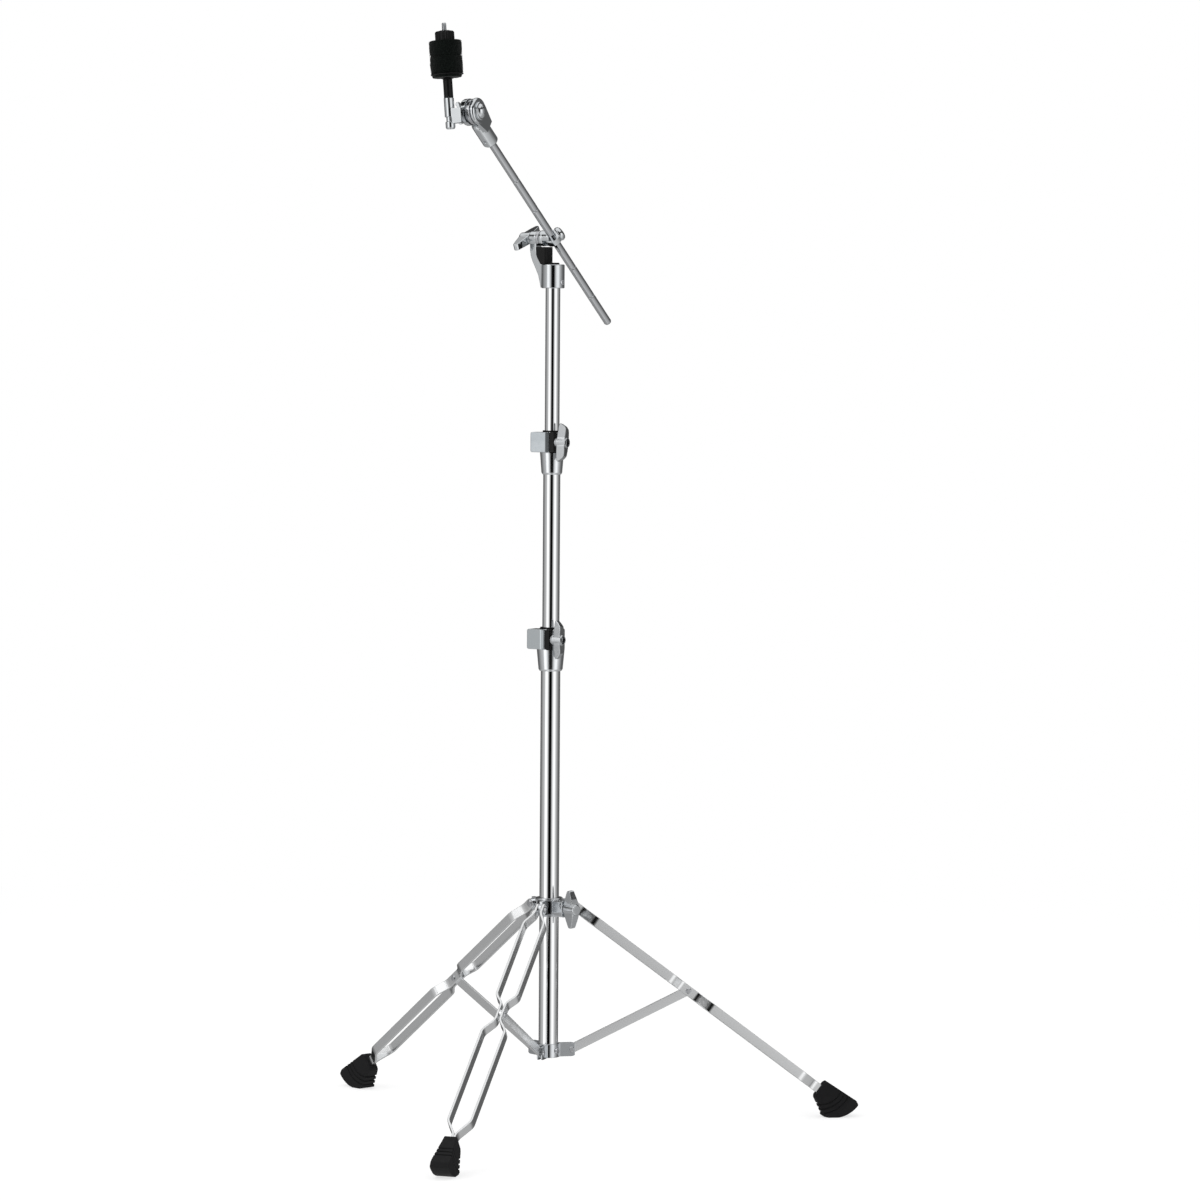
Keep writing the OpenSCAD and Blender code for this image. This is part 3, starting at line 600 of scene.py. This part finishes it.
def threaded_post():
    """The cymbal post: plain below, with a rolled thread above the seat."""
    segments = 64
    heights = ([POST_LOW, POST_LOW + 0.4, POST_LOW + 1.2, THREAD_LOW - 1.6, THREAD_LOW - 1]
               + [RING_LOW + RING_STEP * k for k in range(RING_COUNT)]
               + [POST_TOP - 0.5, POST_TOP])
    verts, uvs = [], []
    for z in heights:
        chamfer = max(0, z - POST_CHAMFER) * 0.8 + (0.3 if z == POST_LOW else 0)
        for k in range(segments):
            turn = k / segments
            wave = abs(((z / THREAD_PITCH - turn) % 1) * 2 - 1)
            cut = THREAD_DEPTH * min(1, max(0, wave * 1.25 - 0.1))
            radius = POST_R - max(cut if THREAD_LOW < z < THREAD_HIGH else 0, chamfer)
            angle = 2 * math.pi * turn
            verts.append((radius * math.cos(angle) * MM, radius * math.sin(angle) * MM, z * MM))
            uvs.append((z * MM, POST_R * angle * MM))
    piece = new_piece("post_threaded", verts, capped_faces(len(heights), segments),
                      "tilter_top", "rod_chrome", post_matrix(), ("post",), uvs)
    piece.data.set_sharp_from_angle(angle=math.radians(60))


# ---- tripod ----

def leg_strips(leg):
    """The two bent flats of a leg, which mirror each other."""
    matrix = leg_matrix(leg)
    line = eased([Vector(point) for point in STRIP_LINE], reach=4.5, steps=9)
    start, offset = STRIP_LINE[0]
    tip = [Vector((x, offset)) for x in round_end_steps(start, 1, STRIP_WIDTH / 2)]
    line = filled_in(tip + line[1:], step=7)
    for side, letter in ((1, "a"), (-1, "b")):
        bent = [Vector((point.x, point.y * side)) for point in line]
        verts, faces, uvs = bar(bent, STRIP_WIDTH, STRIP_THICK, STRIP_EDGE,
                                round_start=True, round_end=False)
        even_faces(new_piece(
            f"{leg}_strip_{letter}_bent", verts, faces, leg + "_leg", "strip_chrome",
            matrix, (f"{leg}_strip_{letter}",), uvs))


def leg_brace(leg):
    """The single flat between a leg's rivet and the lower bracket."""
    low, top = brace_ends(leg)
    along = (top - low).normalized()
    across = Vector(joints[leg + "_leg_swing"]["axis"]).normalized()
    matrix = frame_matrix(low, along, across, along.cross(across))
    half = BRACE_WIDTH / 2
    length = (top - low).length / MM
    start = [Vector((x, 0)) for x in round_end_steps(-half, 1, half)]
    end = [Vector((x, 0)) for x in round_end_steps(length + half, -1, half)][::-1]
    line = filled_in(start + end, step=8)
    verts, faces, uvs = bar(line, BRACE_WIDTH, BRACE_THICK, BRACE_EDGE,
                            round_start=True, round_end=True)
    even_faces(new_piece(
        leg + "_brace_flat", verts, faces, leg + "_link", "strip_chrome",
        matrix, (leg + "_brace",), uvs))


# ---- seat ----

def felt_piece(name, node, body, bottom, top, radius, low_radius, seed, matrix):
    """A thick washer cut from wool felt: soft edges, sides that are never quite round."""
    height = top - bottom
    rows = [(FELT_BORE_R + 0.2, bottom), (low_radius - 1.2, bottom)]
    steps = 26
    for k in range(steps + 1):
        t = k / steps
        bulge = math.sin(math.pi * t) ** 0.5
        side = low_radius + (radius - low_radius) * min(1, t * 2.2)
        rows.append((side - 0.9 + 0.9 * bulge, bottom + 0.4 + (height - 0.8) * t))
    rows += [(radius - 1.3, top)]
    rows += [(r, top - 0.05) for r in (16, 13, 10, 7)]
    rows += [(FELT_BORE_R, top - 0.2)]
    worn_from = 9

    def worn(r, z, angle):
        if r < worn_from:
            return r
        spot = Vector((math.cos(angle) * 2.2, math.sin(angle) * 2.2, z * 0.11 + seed))
        lump = noise.fractal(spot * 1.3, 0.8, 2.1, 4) * 0.55
        tuft = noise.fractal(Vector((math.cos(angle) * 26, math.sin(angle) * 26, z * 1.3 + seed)),
                             0.6, 2.0, 3) * 0.22
        return r + (lump + tuft) * min(1, (r - worn_from) / 8) - 0.25

    verts, faces, uvs = lathe(rows[::-1], 220, worn)
    shaken = []
    for x, y, z in verts:
        spot = Vector((x, y, z)) * 420 + Vector((seed, 0, 0))
        shaken.append((x, y, z + noise.fractal(spot, 0.7, 2.0, 3) * 0.14 * MM))
    piece = new_piece(name, shaken, faces, body, "felt", matrix, (node,), uvs)


def felt_fuzz(name, body, bottom, top, radius, count, seed, matrix):
    """Loose wool ends standing off the cut side of a felt washer."""
    rng = random.Random(seed)
    verts, faces = [], []
    for _ in range(count):
        angle = rng.uniform(0, 2 * math.pi)
        z = rng.uniform(bottom + 0.3, top - 0.2)
        out = Vector((math.cos(angle), math.sin(angle), 0))
        side = Vector((-out.y, out.x, 0))
        reach = rng.uniform(0.25, 0.95) * (1.3 if rng.random() < 0.06 else 1)
        lean = side * rng.uniform(-0.9, 0.9) + Vector((0, 0, rng.uniform(-0.8, 0.8)))
        width = rng.uniform(0.03, 0.06)
        across = (lean.cross(out) + side * 0.3).normalized() * width
        start = out * (radius - 0.75) + Vector((0, 0, z))
        bend = start + out * (0.55 + reach * 0.5) + lean * reach * 0.35
        end = bend + out * reach * 0.28 + lean * reach * 0.55
        base = len(verts)
        for point, wide in ((start, 1), (bend, 0.8), (end, 0.25)):
            for sign in (-1, 1):
                verts.append(tuple((point + across * wide * sign) * MM))
        faces += [(base, base + 1, base + 3, base + 2), (base + 2, base + 3, base + 5, base + 4)]
    new_piece(name, verts, faces, body, "felt", matrix)


def cymbal_seat():
    """Both felts, then the loose wool on them."""
    matrix = post_matrix()
    felt_piece("lower_felt_wool", "lower_felt", "tilter_top", bottom=44.1, top=71.0,
               radius=20.6, low_radius=19.2, seed=3.1, matrix=matrix)
    felt_piece("upper_felt_wool", "upper_felt", "top_felt", bottom=71.1, top=90.3,
               radius=20.7, low_radius=20.2, seed=8.7, matrix=matrix)
    felt_fuzz("lower_felt_fuzz", "tilter_top", bottom=48, top=71, radius=20.3, count=5200,
              seed=11, matrix=matrix)
    felt_fuzz("upper_felt_fuzz", "top_felt", bottom=71, top=90, radius=20.5, count=4600,
              seed=12, matrix=matrix)


# ---- studio ----

# angles in degrees, distances in metres
CAMERA_AZIMUTH = 18.6
CAMERA_AWAY = 6.276
CAMERA_HEIGHT = 1.101
CAMERA_PAN = 0.58
CAMERA_TILT = 3.77
CAMERA_ROLL = 0.4
CAMERA_LENS_MM = 145.47

# brightness seen in an upright tube: degrees right of the camera, and light from there
STUDIO_RING = [
    (-180, 0.12), (-150, 0.1), (-128, 0.14), (-106, 0.3), (-90, 0.44), (-72, 0.52), (-65, 0.62),
    (-57, 1.25), (-42, 1.25), (-32, 0.85), (-21, 0.4), (-14, 0.05), (-8, 0.0), (8, 0.0),
    (13, 0.03), (17, 0.22), (23, 0.48), (36, 0.95), (54, 1.2), (65, 0.78), (80, 0.48), (96, 0.3),
    (116, 0.12), (142, 0.12), (165, 0.12), (180, 0.12),
]
RING_TOP = max(value for _, value in STUDIO_RING)


def ring_ramp(tree, share):
    """The studio ring as a colour ramp. Its brightest stop is white."""
    ring = add_node(tree, "ValToRGB", {"Fac": share})
    stops = ring.color_ramp.elements
    while len(stops) > 1:
        stops.remove(stops[-1])
    for index, (angle, value) in enumerate(STUDIO_RING):
        place = (angle + 180) / 360
        stop = stops[0] if index == 0 else stops.new(place)
        stop.position = place
        stop.color = (*(value / RING_TOP,) * 3, 1)
    return ring.outputs["Color"]


def toward_grey(tree, share, start, grey):
    """The start colour where share is 0, a grey where it is 1."""
    mix = add_node(tree, "Mix", data_type="RGBA")
    tree.links.new(share, mix.inputs[0])
    tree.links.new(start, mix.inputs[6])
    mix.inputs[7].default_value = (grey, grey, grey, 1)
    return mix.outputs[2]


def studio_world():
    """Tall soft boxes all round, a dark band above them, a pale ceiling and a grey floor.
    The camera itself sees plain white."""
    world = bpy.data.worlds.new("studio")
    bpy.context.scene.world = world
    world.use_nodes = True
    tree = world.node_tree
    tree.nodes.clear()
    direction = add_node(tree, "TexCoord").outputs["Generated"]
    turned = add_node(tree, "VectorRotate", {
        "Vector": direction, "Axis": (0, 0, 1),
        "Angle": math.radians(90 - CAMERA_AZIMUTH)}, rotation_type="AXIS_ANGLE")
    parts = add_node(tree, "SeparateXYZ", {0: turned.outputs["Vector"]})
    around = add_node(tree, "Math", {0: parts.outputs["Y"], 1: parts.outputs["X"]},
                      operation="ARCTAN2")
    share = add_node(tree, "MapRange", {
        "Value": around.outputs[0], "From Min": -math.pi, "From Max": math.pi})
    ring = ring_ramp(tree, share.outputs["Result"])
    # how far up the light comes from: 1 is straight above, -1 straight below
    up = parts.outputs["Z"]
    banded = toward_grey(tree, smooth_share(tree, up, 0.3, 0.42), ring, 0.05)
    roofed = toward_grey(tree, smooth_share(tree, up, 0.58, 0.8), banded, 0.7)
    whole = toward_grey(tree, smooth_share(tree, up, -0.25, -0.6, 0.6), roofed, 0.45)
    lit = add_node(tree, "Background", {"Color": whole, "Strength": RING_TOP})
    plain = add_node(tree, "Background", {"Color": (1, 1, 1, 1), "Strength": 1.0})
    seen = add_node(tree, "LightPath")
    both = add_node(tree, "MixShader", {
        0: seen.outputs["Is Camera Ray"], 1: lit.outputs[0], 2: plain.outputs[0]})
    tree.links.new(both.outputs[0], add_node(tree, "OutputWorld").inputs["Surface"])


def floor_paper():
    """Pale paper that takes a faint shadow near the stand and glows plain white far from it."""
    material = bpy.data.materials.new("studio_floor")
    material.use_nodes = True
    tree = material.node_tree
    shader = tree.nodes["Principled BSDF"]
    shader.inputs["Base Color"].default_value = (0.55, 0.55, 0.55, 1)
    shader.inputs["Roughness"].default_value = 0.9
    shader.inputs["Specular IOR Level"].default_value = 0.0
    shader.inputs["Emission Color"].default_value = (1, 1, 1, 1)
    shader.inputs["Emission Strength"].default_value = 0.72
    place = add_node(tree, "TexCoord").outputs["Object"]
    reach = add_node(tree, "VectorMath", {0: place}, operation="LENGTH")
    far = smooth_share(tree, reach.outputs["Value"], 0.5, 2.6)
    paper = add_node(tree, "Emission", {"Color": (1, 1, 1, 1), "Strength": 1.0})
    mix = add_node(tree, "MixShader", {0: far, 1: shader.outputs[0], 2: paper.outputs[0]})
    tree.links.new(mix.outputs[0], tree.nodes["Material Output"].inputs["Surface"])
    return material


def floor():
    bpy.ops.mesh.primitive_circle_add(vertices=96, radius=9, fill_type="NGON")
    plate = bpy.context.object
    plate.name = "studio_floor"
    plate.location = (column.x, column.y, -0.0002)
    plate.data.materials.append(floor_paper())
    plate.visible_glossy = False


def soft_light(name, place, target, size, power):
    light = bpy.data.lights.new(name, "AREA")
    light.shape = "RECTANGLE"
    light.size, light.size_y = size
    light.energy = power
    lamp = bpy.data.objects.new(name, light)
    bpy.context.scene.collection.objects.link(lamp)
    lamp.location = place
    lamp.rotation_euler = (Vector(target) - Vector(place)).to_track_quat("-Z", "Y").to_euler()


def camera():
    """A long lens far from the stand, a little above its middle."""
    data = bpy.data.cameras.new("camera")
    data.sensor_width = 36
    data.lens = CAMERA_LENS_MM
    data.clip_end = 60
    lens = bpy.data.objects.new("camera", data)
    bpy.context.scene.collection.objects.link(lens)
    azimuth = math.radians(CAMERA_AZIMUTH)
    back = Vector((math.sin(azimuth), -math.cos(azimuth), 0))
    lens.location = column + back * CAMERA_AWAY + Vector((0, 0, CAMERA_HEIGHT))
    pan, tilt, roll = map(math.radians, (CAMERA_PAN, CAMERA_TILT, CAMERA_ROLL))
    turn = (Matrix.Rotation(azimuth - pan, 3, "Z") @ Matrix.Rotation(math.pi / 2 - tilt, 3, "X")
            @ Matrix.Rotation(roll, 3, "Z"))
    lens.rotation_euler = turn.to_euler()
    bpy.context.scene.camera = lens


def studio():
    studio_world()
    floor()
    soft_light("key_softbox", place=(-2.2, -3.2, 3.4), target=(0, 0, 0.7), size=(2.8, 2.8),
               power=28)
    camera()
    settings = bpy.context.scene.view_settings
    settings.view_transform = "Standard"
    settings.look = "None"


finish_cad_nodes()
soften_cad_nodes()
for tube, rider in (("base_tube", "base"), ("middle_tube", "middle_column"),
                    ("upper_tube", "upper_column")):
    tube_piece(tube, rider)
boom_rod_piece()
threaded_post()
for leg_name in LEGS:
    leg_strips(leg_name)
    leg_brace(leg_name)
cymbal_seat()
studio()
